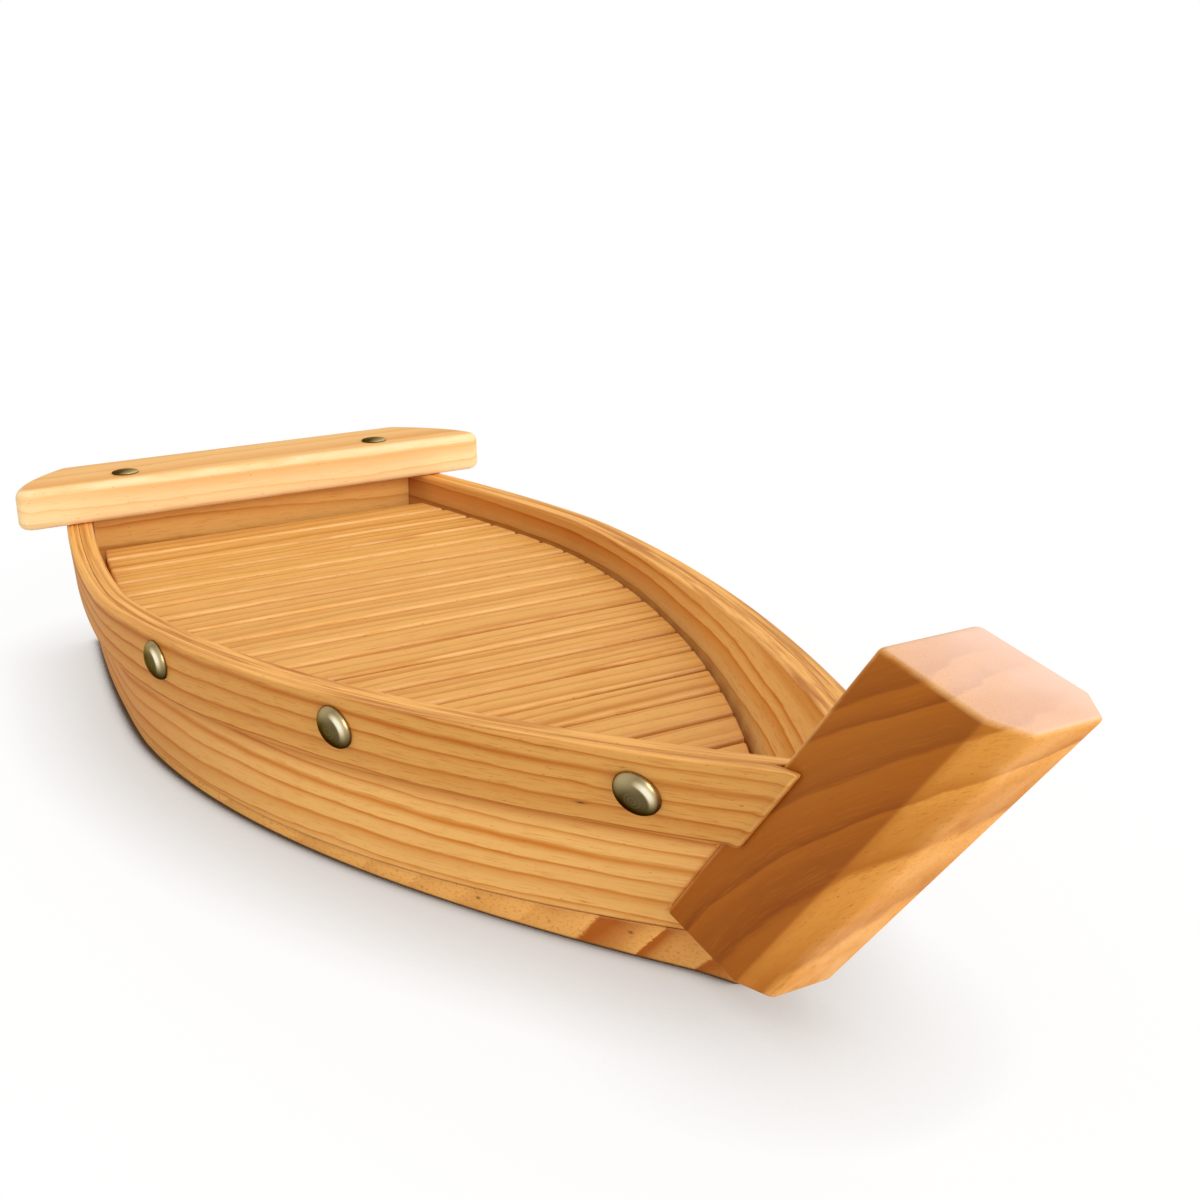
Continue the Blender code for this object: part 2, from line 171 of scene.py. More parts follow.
def corner_ways(corners):
    """Unit ways from each corner of a polygon back and ahead, their cosine, and their bisector."""
    back = np.roll(corners, 1, -2) - corners
    ahead = np.roll(corners, -1, -2) - corners
    back = back / np.linalg.norm(back, axis=-1, keepdims=True)
    ahead = ahead / np.linalg.norm(ahead, axis=-1, keepdims=True)
    bisector = (back + ahead) / np.linalg.norm(back + ahead, axis=-1, keepdims=True)
    return back, ahead, (back * ahead).sum(-1), bisector


def rounded_loop(corners, radius, across, arc=5):
    """A polygon with each corner turned into an arc that touches both sides.

    The arc's centre lies on the corner's bisector, and its points are a blend of the two touching
    directions by sines of the angle. Points at the shares in across fill the straights. The second
    value is the wear: a half sine over each arc, and nothing on the straights.
    """
    back, ahead, cosine, bisector = corner_ways(corners)
    half = 0.5 * np.arccos(np.clip(cosine, -0.9999999, 0.99999))
    radius = np.broadcast_to(radius, half.shape)
    reach = (radius / np.tan(half))[..., None]
    centre = corners + bisector * (radius / np.sin(half))[..., None]
    start = corners + back * reach
    end = corners + ahead * reach
    sweep = (math.pi - 2.0 * half)[..., None]
    w = np.linspace(0.0, 1.0, arc)
    first = (np.sin((1.0 - w) * sweep) / np.sin(sweep))[..., None]
    second = (np.sin(w * sweep) / np.sin(sweep))[..., None]
    middle = centre[..., None, :]
    arcs = middle + first * (start[..., None, :] - middle) + second * (end[..., None, :] - middle)
    t = np.asarray(across)[:, None]
    straights = mix(end[..., None, :], np.roll(start, -1, -2)[..., None, :], t)
    loop = np.concatenate([arcs, straights], axis=-2)
    loop = loop.reshape(*loop.shape[:-3], -1, 2)
    wear = np.concatenate([np.sin(math.pi * w), np.zeros(len(across))])
    return loop, np.tile(wear, corners.shape[-2])


def inset(corners, amount):
    """The polygon with every side moved inwards, each corner going along its bisector."""
    _, _, cosine, bisector = corner_ways(corners)
    half = 0.5 * np.arccos(np.clip(cosine, -1.0, 1.0))
    return corners + bisector * (amount / np.sin(half))[..., None]


def run_with_round_ends(length, edge, count, steps=5):
    """Places along a piece, and how far its section draws in there: a quarter circle at each end.

    The third value is the wear, a half sine over each quarter circle, and the fourth is 1 on the end
    faces.
    """
    q = np.linspace(0.0, 0.5 * math.pi, steps)
    out = edge * (1.0 - np.cos(q))
    ends = np.stack([out, edge * (1.0 - np.sin(q)), np.sin(2.0 * q), q == 0.0])
    middle = np.zeros((4, count))
    middle[0] = np.linspace(1.3 * edge, length - 1.3 * edge, count)
    other = ends[:, ::-1].copy()
    other[0] = length - other[0]
    along, draw, wear, end = np.concatenate([ends, middle, other], 1)[:, :, None]
    return along, draw, wear, end


def placed(name, data):
    """A new object at the origin, linked into the scene."""
    piece = bpy.data.objects.new(name, data)
    bpy.context.scene.collection.objects.link(piece)
    return piece


def skinned(name, rows, grain, finish_and_shading, mat, straight, flip=False):
    """Mesh through rings of points: four-sided faces round and along, and strips over both ends.

    A strip joins opposite points of the end ring, and the points that lie in line along the first
    and last of its edges join the faces there. Where straight is None, the last ring at each end has
    shrunk to a point's breadth instead, and one face closes it. The material's own coordinates, and
    three shares go with every point: in wood, wear, a darkening that is mostly painted shade, and end
    grain; in brass, a painted highlight and a tone that is partly painted shade.
    """
    n, m = rows.shape[:2]
    index = np.arange(n * m).reshape(n, m)
    turned = np.roll(index, -1, 1)
    sides = np.stack([index[:-1], turned[:-1], turned[1:], index[1:]], -1).reshape(-1, 4)
    if straight is None:
        strip = [list(range(m - 1, -1, -1))]
    else:
        q = m - straight
        last = (q - straight) // 2 - 1
        k = np.arange(1, last - 1)
        strip = np.stack([k, q - 1 - k, q - 2 - k, k + 1], -1).tolist()
        strip.append([0, *range(m - 1, q - 3, -1), 1])
        strip.append([last - 1, *range(q - last, last - 1, -1)])
    faces = sides.tolist()
    faces += [index[0][face].tolist() for face in strip]
    faces += [index[-1][face[::-1]].tolist() for face in strip]
    if flip:
        faces = [face[::-1] for face in faces]
    mesh = bpy.data.meshes.new(name)
    mesh.from_pydata(rows.reshape(-1, 3).tolist(), [], faces)
    mesh.shade_smooth()
    shares = np.stack([np.broadcast_to(share, (n, m)) for share in finish_and_shading], -1)
    for key, values in (("grain", grain), ("finish_and_shading", shares)):
        values = np.ascontiguousarray(values, np.float32)
        mesh.attributes.new(key, "FLOAT_VECTOR", "POINT").data.foreach_set("vector", values.ravel())
    mesh.materials.append(mat)
    return placed(name, mesh)


def new_material(name):
    """A material, its node tree, and the shader that comes with it."""
    mat = bpy.data.materials.new(name)
    mat.use_nodes = True
    return mat, mat.node_tree, mat.node_tree.nodes["Principled BSDF"]


def add(tree, kind, inputs, out=0, **settings):
    """Adds a shader node, links or sets its inputs, and gives back one of its outputs."""
    node = tree.nodes.new(kind)
    for key, value in settings.items():
        setattr(node, key, value)
    for key, value in inputs.items():
        if isinstance(value, bpy.types.NodeSocket):
            tree.links.new(value, node.inputs[key])
        else:
            node.inputs[key].default_value = value
    return node.outputs[out]


def sums(tree, operation, a, b=0.0, c=0.0):
    """One step of arithmetic on shader values."""
    return add(tree, "ShaderNodeMath", {0: a, 1: b, 2: c}, operation=operation)


def cloud(tree, place, stretch, detail=2.0, rough=0.5):
    """Soft noise from 0 to 1, with its own number of waves in a metre along each direction."""
    spot = add(tree, "ShaderNodeVectorMath", {0: place, 1: stretch}, operation="MULTIPLY")
    wanted = {"Vector": spot, "Scale": 1.0, "Detail": detail, "Roughness": rough}
    return add(tree, "ShaderNodeTexNoise", wanted)


def ramp(tree, value, stops):
    """A curve from a value to a grey level, through (place, level) stops."""
    node = tree.nodes.new("ShaderNodeValToRGB")
    while len(node.color_ramp.elements) < len(stops):
        node.color_ramp.elements.new(0.5)
    for element, (place, level) in zip(node.color_ramp.elements, stops):
        element.position = place
        element.color = (level, level, level, 1.0)
    tree.links.new(value, node.inputs[0])
    return node.outputs[0]


def blended(tree, share, a, b, kind="MIX"):
    """Colour a at share 0, and at share 1 colour b, or a times b where the kind is MULTIPLY."""
    colours = {0: share, 6: a, 7: b}
    return add(tree, "ShaderNodeMix", colours, out=2, data_type="RGBA", blend_type=kind)


def shares_of(tree):
    """Three shares a piece carries; in wood: wear, darkening (mostly painted shade) and end grain."""
    split = tree.nodes.new("ShaderNodeSeparateXYZ")
    finish_and_shading = add(tree, "ShaderNodeAttribute", {}, out=1, attribute_name="finish_and_shading")
    tree.links.new(finish_and_shading, split.inputs[0])
    return split.outputs


RAGGED = 0.0006
GRAIN_RELIEF = 0.00012
HOLE_COLOUR = (0.045, 0.018, 0.006, 1.0)
# Waves of each noise in a metre, along the wood and across it.
SLOW, QUICK = (11.0, 38.0, 38.0), (55.0, 190.0, 190.0)
FIBRES, PORES = (130.0, 2400.0, 2400.0), (520.0, 3300.0, 3300.0)
SEASONS, TONES = (9.0, 95.0, 95.0), (17.0, 70.0, 70.0)
PATCHES, LINES = (60.0, 160.0, 160.0), (12.0, 800.0, 800.0)
NARROW = ((0.0, 0.16), (0.05, 0.0), (0.55, 0.08), (0.80, 0.48), (0.94, 1.0), (1.0, 0.40))


def pine(name, pale, late, fleck, worn, layers, spacing, wander, ripple, late_share, bands=NARROW,
         shade_and_tone=(0.5, 0.4, 0.3), end=(0.60, 0.27, 0.08), spots=(), fades=None, scuffs=PATCHES):
    """Varnished pine, worked out from the wood's own coordinates in metres, length first.

    Growth layers lie across the direction given by layers. Their place plus two noises, over the
    spacing, is a ring count, and its fraction climbs slowly to the dark late wood and drops back at
    once. Fibres are noise drawn out along the length, pores are its rarest peaks, and edges wear pale
    in scuffs. Between the two places in fades, across the board, the late wood pales.
    """
    mat, tree, shader = new_material(name)
    grain = add(tree, "ShaderNodeAttribute", {}, out=1, attribute_name="grain")
    wear, dark, cut = shares_of(tree)

    depth = add(tree, "ShaderNodeVectorMath", {0: grain, 1: layers}, out=1, operation="DOT_PRODUCT")
    slow = cloud(tree, grain, SLOW, 1.0)
    quick = cloud(tree, grain, QUICK, 2.0)
    depth = sums(tree, "MULTIPLY_ADD", slow, wander, depth)
    depth = sums(tree, "MULTIPLY_ADD", quick, ripple, depth)
    fibre = cloud(tree, grain, FIBRES, 3.0, 0.6)
    depth = sums(tree, "MULTIPLY_ADD", fibre, RAGGED, depth)
    count = sums(tree, "DIVIDE", depth, spacing)
    uneven = add(tree, "ShaderNodeTexNoise", {"W": count, "Scale": 0.61, "Detail": 1.0},
                 noise_dimensions="1D")
    count = sums(tree, "MULTIPLY_ADD", uneven, 1.5, count)
    ring = sums(tree, "FRACT", count)
    ring = ramp(tree, ring, bands)
    strength = cloud(tree, grain, SEASONS, 2.0)
    strength = sums(tree, "MULTIPLY_ADD", strength, 1.1, late_share - 0.55)
    if fades:
        split = tree.nodes.new("ShaderNodeSeparateXYZ")
        tree.links.new(grain, split.inputs[0])
        faded = {0: split.outputs[1], 1: fades[0], 2: fades[1], 3: 1.0, 4: 0.2}
        strength = sums(tree, "MULTIPLY", strength, add(tree, "ShaderNodeMapRange", faded))
    ring = sums(tree, "MULTIPLY", ring, strength)
    colour = blended(tree, ring, (*pale, 1.0), (*late, 1.0))
    colour = blended(tree, sums(tree, "MULTIPLY", cut, 0.75), colour, (*end, 1.0))
    # The dark share multiplies in a darker tint: mostly painted shade, and a deeper tone on the rims.
    colour = blended(tree, dark, colour, (*shade_and_tone, 1.0), "MULTIPLY")

    tone = cloud(tree, grain, TONES, 3.0)
    tone = sums(tree, "MULTIPLY_ADD", tone, 0.56, -0.14)
    between = (0.45 * p + 0.55 * q for p, q in zip(pale, late))
    colour = blended(tree, tone, colour, (*between, 1.0))
    rub = cloud(tree, grain, scuffs, 2.0, 0.6)
    rub = ramp(tree, rub, ((0.35, 0.15), (0.62, 0.95)))
    rub = sums(tree, "MULTIPLY", rub, wear)
    colour = blended(tree, rub, colour, (*worn, 1.0))
    streak = ramp(tree, fibre, ((0.28, 0.55), (0.47, 0.0)))
    whole = sums(tree, "MULTIPLY_ADD", cut, -0.8, 1.0)
    streak = sums(tree, "MULTIPLY", streak, whole)
    streak = sums(tree, "MULTIPLY", streak, sums(tree, "MULTIPLY_ADD", rub, -0.7, 1.0))
    colour = blended(tree, streak, colour, (*late, 1.0))
    pores = cloud(tree, grain, PORES, 1.0)
    pore = ramp(tree, pores, ((0.72, 0.0), (0.78, 0.65)))
    pore = sums(tree, "MULTIPLY", pore, whole)
    colour = blended(tree, pore, colour, (*fleck, 1.0))
    for spot, size in spots:
        away = add(tree, "ShaderNodeVectorMath", {0: grain, 1: spot}, operation="SUBTRACT")
        away = add(tree, "ShaderNodeVectorMath", {0: away, 1: size}, operation="DIVIDE")
        away = add(tree, "ShaderNodeVectorMath", {0: away}, out=1, operation="LENGTH")
        away = sums(tree, "MULTIPLY_ADD", away, 0.5, sums(tree, "MULTIPLY", quick, 0.4))
        darkening = ramp(tree, away, ((0.30, 0.92), (0.55, 0.30), (0.95, 0.0)))
        colour = blended(tree, darkening, colour, HOLE_COLOUR)
    tree.links.new(colour, shader.inputs["Base Color"])

    rough = sums(tree, "MULTIPLY_ADD", fibre, 0.16, 0.40)
    rough = sums(tree, "MULTIPLY_ADD", ring, -0.06, rough)
    tree.links.new(rough, shader.inputs["Roughness"])
    shader.inputs["Specular IOR Level"].default_value = 0.0
    shader.inputs["Coat Weight"].default_value = 0.14
    shader.inputs["Coat Roughness"].default_value = 0.22

    height = sums(tree, "MULTIPLY_ADD", ring, 0.55, fibre)
    height = sums(tree, "MULTIPLY_ADD", pore, -0.9, height)
    bump = add(tree, "ShaderNodeBump", {"Height": height, "Strength": 0.35, "Distance": GRAIN_RELIEF})
    tree.links.new(bump, shader.inputs["Normal"])
    return mat


pine_base = pine(
    "pine_base", pale=(0.95, 0.51, 0.143), late=(0.44, 0.110, 0.012), fleck=(0.20, 0.055, 0.010),
    worn=(0.86, 0.52, 0.22), layers=(0.0, 1.0, 0.44), spacing=0.0064, wander=0.0024, ripple=0.0008,
    late_share=1.15, shade_and_tone=(0.16, 0.10, 0.06), fades=(0.018, 0.0225),
    bands=((0.0, 0.3), (0.05, 0.0), (0.40, 0.22), (0.72, 0.75), (0.95, 1.0), (1.0, 0.6)),
    spots=(((0.0897, 0.0120, 0.0050), PIN_HOLE), ((0.0570, 0.0295, 0.0032), PIN_HOLE)))

nose_x = HEEL_X + NOSE_REACH
x = np.linspace(STERN_X, TOE_X, BASE_STATIONS)
x = np.concatenate([x, np.linspace(TOE_X, nose_x, NOSE_STATIONS)[1:]])
hull_x = np.minimum(x, TOE_X)
past = np.clip((x - TOE_X) / (nose_x - TOE_X), 0.0, 1.0)
s = (hull_x - STERN_X) / (TOE_X - STERN_X)
y, stretch = breadth(hull_x, 0.0 * hull_x)
strip = mix(y - mix(STRIP_INSET, STRIP_BOW_INSET, s), NOSE_HALF, past)
seat = mix(lining(y, stretch) - GLUE * stretch, KEEL_HALF, past)
seat_z = np.minimum(foot_z(s) - GLUE, stem_seat(x) - NOSE_LIP)
crown_z = np.minimum(mix(BASE_TOP, stem_seat(TOE_X), rise(s, FOOT_START)), stem_seat(x))
crown = mix(inside(hull_x, crown_z) - GLUE * stretch, KEEL_HALF, past)
half_ring = [(strip, 0.0 * x), (strip, seat_z), (seat, seat_z), (crown, crown_z)]
corners = np.stack([np.stack(p, -1) for p in half_ring], 1)
port_side = corners[:, ::-1] * (-1.0, 1.0)
corners = np.concatenate([corners, port_side], 1)
edge = np.array([BASE_EDGE, *[RABBET_EDGE] * 6, BASE_EDGE])
small = np.minimum(edge, 0.3 * np.abs(strip - seat)[:, None])
loop, turn = rounded_loop(corners, small, ACROSS)
rows = np.stack([np.broadcast_to(x[:, None], loop.shape[:2]), loop[..., 0], loop[..., 1]], -1)
grain = np.abs(rows) + BASE_GRAIN
# Painted shade: the lowest edge of the base darkens where it stands on the table, as a contact
# shadow.
darkening = np.clip(1.25 - rows[..., 2] / BOTTOM_SHADE, 0.0, 1.0)
# Painted shade: a soft dark strip on the base just under the overhanging planks, fainter towards the
# bow.
below = seat_z[:, None] - rows[..., 2]
under_plank_shade = np.clip(1.0 - below / UNDER_PLANK_REACH, 0.0, 1.0) * (below > -0.1 * UNDER_PLANK_REACH)
darkening = np.maximum(darkening, under_plank_shade * mix(UNDER_PLANK_SHADE, UNDER_PLANK_BOW_SHADE, s[:, None]))
finish_and_shading = (0.5 * turn * (1.0 - darkening), darkening, 0.0)
base = skinned("base", rows, grain, finish_and_shading, pine_base, len(ACROSS))
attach(base, "hull")
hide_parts("base_board")


# Side planks
# Thin pine boards, steamed and bent round the base board and butted against the back of the
# stem. Their lower corners go on under its foot, and the top edges show inside the sheer bands.
PLANK_EDGE, LEAST_EDGE = 0.0006, 0.0002
PLANK_STATIONS, PATH_POINTS = 170, 2000
PLANK_ACROSS = (0.01, 0.05, 0.10, 0.20, 0.31, 0.40, 0.43, 0.45, 0.47, 0.49,
                0.51, 0.53, 0.55, 0.57, 0.60, 0.69, 0.80, 0.90, 0.95, 0.99)
PLANK_RIM_LOW, PLANK_RIM_HIGH = 0.0010, 0.0003
PLANK_RIM_DARK, RIM_WEAR = 0.80, 0.95
# Painted shade towards the stern.
STERN_SHADE_FROM, PLANK_STERN_SHADE_TO, PLANK_STERN_SHADE = 0.30, 0.76, 0.55
PLANK_GRAIN = {"starboard": (0.0, 0.004, 0.0), "port": (0.71, 0.031, 0.02)}
BAND_HEIGHT, BAND_BOW_HEIGHT = 0.0172, 0.0200
# Painted shade under the band's lower edge, and on the plank's own lower edge.
UNDER_BAND_FADE, UNDER_BAND_STRIP, EDGE_SHADE_DARK = 0.0022, 0.0014, 0.6
SIDES = (("starboard", -1.0), ("port", 1.0))

pine_plank = pine(
    "pine_plank", pale=(0.90, 0.53, 0.170), late=(0.62, 0.200, 0.017), fleck=(0.27, 0.085, 0.014),
    worn=(0.99, 0.52, 0.145), layers=(0.004, 1.0, 0.55), spacing=0.0047, wander=0.0050, ripple=0.0012,
    late_share=1.0, shade_and_tone=(0.50, 0.23, 0.02), scuffs=LINES)


def step(value, low, high):
    """0 up to low, 1 from high on, and a cubic between them."""
    t = np.clip((value - low) / (high - low), 0.0, 1.0)
    return t * t * (3.0 - 2.0 * t)


def band_height(s):
    """Height of the band that laps the plank: wider towards the bow, as the gunwale rises."""
    return mix(BAND_HEIGHT, BAND_BOW_HEIGHT, rise(s, SHEER_START))


def along_path(x, y):
    """Distance along a line of points, from its first point."""
    return np.concatenate([[0.0], np.cumsum(np.hypot(np.diff(x), np.diff(y)))])


fine = np.linspace(0.0, 1.0, PATH_POINTS)
travel = along_path(*skin(fine, 0.0 * fine + 0.5)[:2])
along, draw, rub, end = run_with_round_ends(travel[-1], PLANK_EDGE, PLANK_STATIONS)
s = np.interp(along, travel, fine)
tall = sheer_z(s) - foot_z(s)
square = np.broadcast_arrays(np.array([0.0, 0.0, PLANK, PLANK]), tall * (0.0, 1.0, 1.0, 0.0))
corners = inset(np.stack(square, -1), draw)
edge = np.array([PLANK_EDGE, LEAST_EDGE, PLANK_EDGE, PLANK_EDGE])
loop, turn = rounded_loop(corners, np.maximum(edge - draw, LEAST_EDGE), PLANK_ACROSS)
depth, up = loop[..., 0], loop[..., 1]
x, y, z, stretch = skin(s, up / tall)
y = mix(y, lining(y, stretch), depth / PLANK)
# Painted shade: the plank darkens in a soft strip under the proud lower edge of the band, and on its
# own lower rounded edge.
under_band = np.maximum(tall - up - band_height(s) - UNDER_BAND_STRIP, 0.0) / UNDER_BAND_FADE
outside = depth < 0.3 * PLANK
edge_shade = outside * EDGE_SHADE_DARK * np.exp(-under_band ** 2)
low = up < 0.1 * tall
edge_shade = np.maximum(edge_shade, EDGE_SHADE_DARK * turn * (outside & low))
# Painted shade: the plank darkens towards the stern, away from the lamp at the bow.
shade = PLANK_STERN_SHADE * (1.0 - step(s, STERN_SHADE_FROM, PLANK_STERN_SHADE_TO))
top = step(up, tall - PLANK_RIM_LOW, tall - PLANK_RIM_HIGH)
dark = np.maximum(mix(edge_shade, 1.0, shade), PLANK_RIM_DARK * top)
finish_and_shading = (np.maximum(RIM_WEAR * top, np.maximum(turn * ~low, rub)), dark, end)
for side, sign in SIDES:
    rows = np.stack([x, sign * y, z], -1)
    grain = np.stack(np.broadcast_arrays(along, up, depth), -1) + PLANK_GRAIN[side]
    plank = skinned("plank_" + side, rows, grain, finish_and_shading, pine_plank, len(PLANK_ACROSS), sign < 0)
    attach(plank, "hull")
    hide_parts("side_plank_" + side)


# Stem post
# A squared pine timber with its two front corners planed to chamfers, raked forward, and cut off
# square to the same slope at both ends. Every edge is eased by hand with sandpaper.
STEM_FRONT_HALF = 0.0064
STEM_CHAMFER = 0.0068
STEM_LENGTH = 0.0940
STEM_EDGE = 0.0015
STEM_END_EDGE = 0.0013
STEM_STATIONS = 40
# Painted light on the end grain, stronger towards the port side.
STEM_END_LIGHT = (0.70, 1.30)
STEM_GRAIN = (0.013, 0.0405, 0.006)
SCUFF_DEPTH, SCUFF_LENGTH = 0.002, 0.062
SWING = 3.6

# The end grain colour is the wood's own pinker tone, made paler still by painted light.
pine_stem = pine(
    "pine_stem", pale=(0.79, 0.35, 0.064), late=(0.46, 0.145, 0.012), fleck=(0.26, 0.08, 0.012),
    worn=(0.92, 0.55, 0.24), layers=(0.0, 1.0, 0.22), spacing=0.0105, wander=0.008, ripple=0.0036,
    late_share=0.90, shade_and_tone=(0.50, 0.31, 0.10), end=(1.0, 0.71, 0.585),
    bands=((0.0, 0.35), (0.06, 0.0), (0.30, 0.10), (0.65, 0.55), (0.93, 1.0), (1.0, 0.6)))

section = np.array([
    (-STEM_DEPTH, STEM_HALF),
    (-STEM_CHAMFER, STEM_HALF),
    (0.0, STEM_FRONT_HALF),
    (0.0, -STEM_FRONT_HALF),
    (-STEM_CHAMFER, -STEM_HALF),
    (-STEM_DEPTH, -STEM_HALF),
])
along, draw, rub, end = run_with_round_ends(STEM_LENGTH, STEM_END_EDGE, STEM_STATIONS)
end = np.maximum(end, step(draw, 0.15 * STEM_END_EDGE, 0.6 * STEM_END_EDGE))
corners = inset(np.repeat(section[None], len(along), 0), draw)
loop, turn = rounded_loop(corners, np.maximum(STEM_EDGE - 0.8 * draw, LEAST_EDGE), ACROSS, 7)
depth, y = loop[..., 0], loop[..., 1]
x = STEM_FOOT_X + along * math.cos(STEM_RAKE) + depth * math.cos(STEM_CUT)
z = STEM_FOOT_Z + along * math.sin(STEM_RAKE) - depth * math.sin(STEM_CUT)
rows = np.stack([x, y, z], -1)
swing = SWING * along ** 2
grain = np.stack(np.broadcast_arrays(along, depth - swing, y), -1) + STEM_GRAIN
off_front = (np.abs(y) - STEM_FRONT_HALF) / (STEM_HALF - STEM_FRONT_HALF)
side = np.clip(9.0 * off_front - 8.0, 0.0, 1.0)
dark = (1.0 - end) * mix(0.3 * np.clip(off_front, 0.0, 1.0), 1.0, side)
back_edge = np.clip(-depth / STEM_DEPTH * 4.0 - 3.0, 0.0, 1.0)
front = np.clip(1.0 + depth / SCUFF_DEPTH, 0.0, 1.0)
scuff = front * np.clip(0.8 - along / SCUFF_LENGTH, 0.28, 1.0)
wear = np.maximum(0.6 * back_edge * turn, 0.4 * rub * (along > 0.5 * STEM_LENGTH))
# Painted light: the end grain is paler towards the port side, standing for light falling on the top.
end_light = mix(*STEM_END_LIGHT, 0.5 + 0.5 * y / STEM_HALF)
finish_and_shading = (np.maximum(wear, scuff), dark, end_light * end)
stem = skinned("stem", rows, grain, finish_and_shading, pine_stem, len(ACROSS), flip=True)
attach(stem, "hull")
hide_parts("stem_post")


# Transom board
# A short pine board across the stern, its ends bevelled to the flare of the planks. It stands on
# the base board just inside their ends, under the crossbar.
TRANSOM = 0.0100
TRANSOM_INSET = 0.0010
TRANSOM_EDGE, LEAST_BAR_EDGE = 0.0006, 0.0001
TRANSOM_GRAIN = (0.4, 0.013, 0.2)
TRANSOM_STATIONS = 60

pine_transom = pine(
    "pine_transom", pale=(0.84, 0.44, 0.125), late=(0.56, 0.20, 0.030), fleck=(0.28, 0.09, 0.02),
    worn=(0.90, 0.64, 0.34), layers=(0.02, 0.7, 0.9), spacing=0.0044, wander=0.0052, ripple=0.0012,
    late_share=0.80)


def beam(low, high, edge, reach, count):
    """A bar with a rounded rectangle for its section, from low to high (across, up).

    The section is carried from minus to plus the half length that reach gives at each of its
    points. Gives the place along, across and up of every point, and its shares of the finish.
    """
    corner = np.array([(low[0], low[1]), (high[0], low[1]), (high[0], high[1]), (low[0], high[1])])
    length = 2.0 * float(np.mean(reach(corner[:, 0], corner[:, 1])))
    along, draw, rub, end = run_with_round_ends(length, edge, count)
    corners = inset(np.repeat(corner[None], len(along), 0), draw)
    loop, turn = rounded_loop(corners, np.maximum(edge - draw, LEAST_BAR_EDGE), ACROSS)
    across, up = loop[..., 0], loop[..., 1]
    place = (2.0 * along / length - 1.0) * reach(across, up)
    return place, across, up, (np.maximum(turn, rub), 0.0, end)


transom_back = STERN_X + TRANSOM_INSET
y, x, z, finish_and_shading = beam(
    (transom_back, BASE_TOP + 0.2 * GLUE), (transom_back + TRANSOM, SHEER_Z), TRANSOM_EDGE,
    lambda x, z: inside(x, z) - GLUE, TRANSOM_STATIONS)
grain = np.stack([y, z, x], -1) + TRANSOM_GRAIN
rows = np.stack([x, y, z], -1)
transom = skinned("transom", rows, grain, finish_and_shading, pine_transom, len(ACROSS), flip=True)
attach(transom, "hull")
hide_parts("transom_board")


# Sheer bands
# A second, narrower pine strip glued over the upper part of each plank. It stands proud of the
# plank, and its front end is pared thin where it laps the side of the stem.
BAND = 0.0034
BAND_LAP = 0.0065
BAND_TIP = 0.0012
BAND_EDGE = 0.0009
BAND_STATIONS = 190
BAND_ACROSS = (0.02, 0.12, 0.24, 0.36, 0.48, 0.52, 0.64, 0.76, 0.88, 0.98)
BAND_RIM_LOW, BAND_RIM_HIGH, BAND_RIM_DARK = 0.0008, 0.0002, 0.60
# Painted shade towards the stern, and on the band's lower rounded edge.
BAND_STERN_SHADE_TO, BAND_STERN_SHADE = 0.72, 0.16
BAND_LOW_EDGE_SHADE = 0.55
BAND_GRAIN = {"starboard": (0.0, 0.0, 0.0), "port": (0.53, 0.047, 0.01)}
BAND_KNOT = ((0.2853, 0.0051, 0.0034), (0.0018, 0.00035, 0.004))

pine_band = pine(
    "pine_band", pale=(0.69, 0.350, 0.087), late=(0.45, 0.122, 0.008), fleck=(0.24, 0.07, 0.012),
    worn=(0.99, 0.52, 0.145), layers=(0.008, 1.0, 0.6), spacing=0.0041, wander=0.0048, ripple=0.0012,
    late_share=0.95, shade_and_tone=(0.55, 0.22, 0.04), scuffs=LINES, spots=(BAND_KNOT,))


def band_faces(s, below):
    """X, inner y, outer y and z of the band, a distance below the gunwale.

    The outer face is the plank's outside plus the band, but never less than a thin tip over the
    side of the stem.
    """
    x, y, z, stretch = skin(s, 1.0 - below / (sheer_z(s) - foot_z(s)))
    inner = np.maximum(y + GLUE * stretch, STEM_HALF + GLUE)
    outer = np.maximum(y + (GLUE + BAND) * stretch, inner + BAND_TIP)
    return x, inner, outer, z


BAND_END = 1.0 + BAND_LAP / (BOW_TOP_X - STERN_X)
fine = np.linspace(0.0, BAND_END, PATH_POINTS)
middle_x, _, middle_y, _ = band_faces(fine, 0.5 * band_height(fine))
travel = along_path(middle_x, middle_y)
along, draw, rub, end = run_with_round_ends(travel[-1], BAND_EDGE, BAND_STATIONS)
s = np.interp(along, travel, fine)
tall = band_height(s)
square = np.broadcast_arrays(np.array([BAND, BAND, 0.0, 0.0]), tall * (0.0, 1.0, 1.0, 0.0))
corners = inset(np.stack(square, -1), draw)
outer_low = np.full_like(s, 1.5 * BAND_EDGE)
outer_top = mix(1.5, 0.75, step(s, 0.10, 0.75)) * BAND_EDGE
inner_top = np.full_like(s, LEAST_EDGE)
inner_low = np.full_like(s, 0.5 * BAND_EDGE)
edge = np.concatenate([outer_low, outer_top, inner_top, inner_low], 1)
loop, turn = rounded_loop(corners, np.maximum(edge - draw, LEAST_EDGE), BAND_ACROSS)
depth, up = loop[..., 0], loop[..., 1]
x, inner, outer, z = band_faces(s, tall - up)
y = mix(inner, outer, depth / BAND)
upper = np.clip(3.0 * up / tall - 1.5, 0.05, 1.0)
# Painted shade: the band's lower rounded edge, which faces down, is darkened.
edge_shade = BAND_LOW_EDGE_SHADE * turn * (up < 0.1 * tall)
